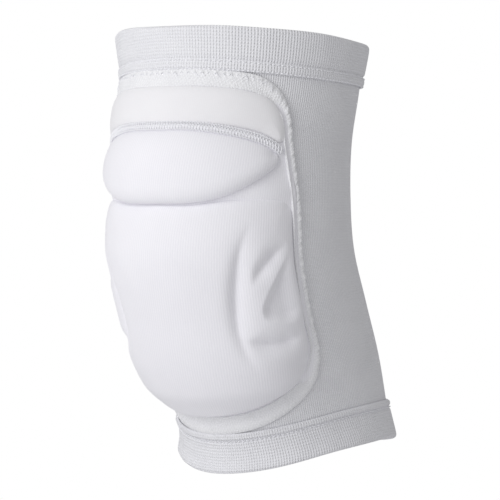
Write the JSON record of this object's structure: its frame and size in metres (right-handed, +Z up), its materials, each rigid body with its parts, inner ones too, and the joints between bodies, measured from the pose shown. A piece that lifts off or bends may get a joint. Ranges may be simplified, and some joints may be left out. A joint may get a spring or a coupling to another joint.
{
  "type": "volleyball knee pad",
  "caption": "Pull-on knitted knee pad, bent as on a leg: elastic sleeve with ribbed cuffs and a sewn-on padded front of thigh panel, brow cushion and grooved knee cup.",
  "frame": {"origin": "the middle of the leg at knee height, half way round and half way up the bent sleeve", "axes": "+Z up the leg towards the thigh, -Y out of the kneecap, +X to the wearer's left; the pad mirrors in the X = 0 plane"},
  "size_m": [0.1328, 0.1874, 0.2335],
  "materials": {
    "sleeve_knit": "fine ribbed elastic knit, white, matt",
    "rib_knit": "coarse square rib knit, white, matt",
    "binding_tape": "flatlock stitched binding tape, white",
    "cover_knit": "smooth fine knit over moulded foam, white, soft sheen",
    "tricot_panel": "smooth tricot over thin foam, off-white"
  },
  "bodies": {
    "root": {"sleeve": "sleeve_knit", "upper_cuff": "rib_knit", "lower_cuff": "rib_knit", "border_tape": "binding_tape", "pad_web": "cover_knit", "thigh_panel": "tricot_panel", "brow_pad": "cover_knit", "knee_cup": "cover_knit"}
  },
  "joints": []
}
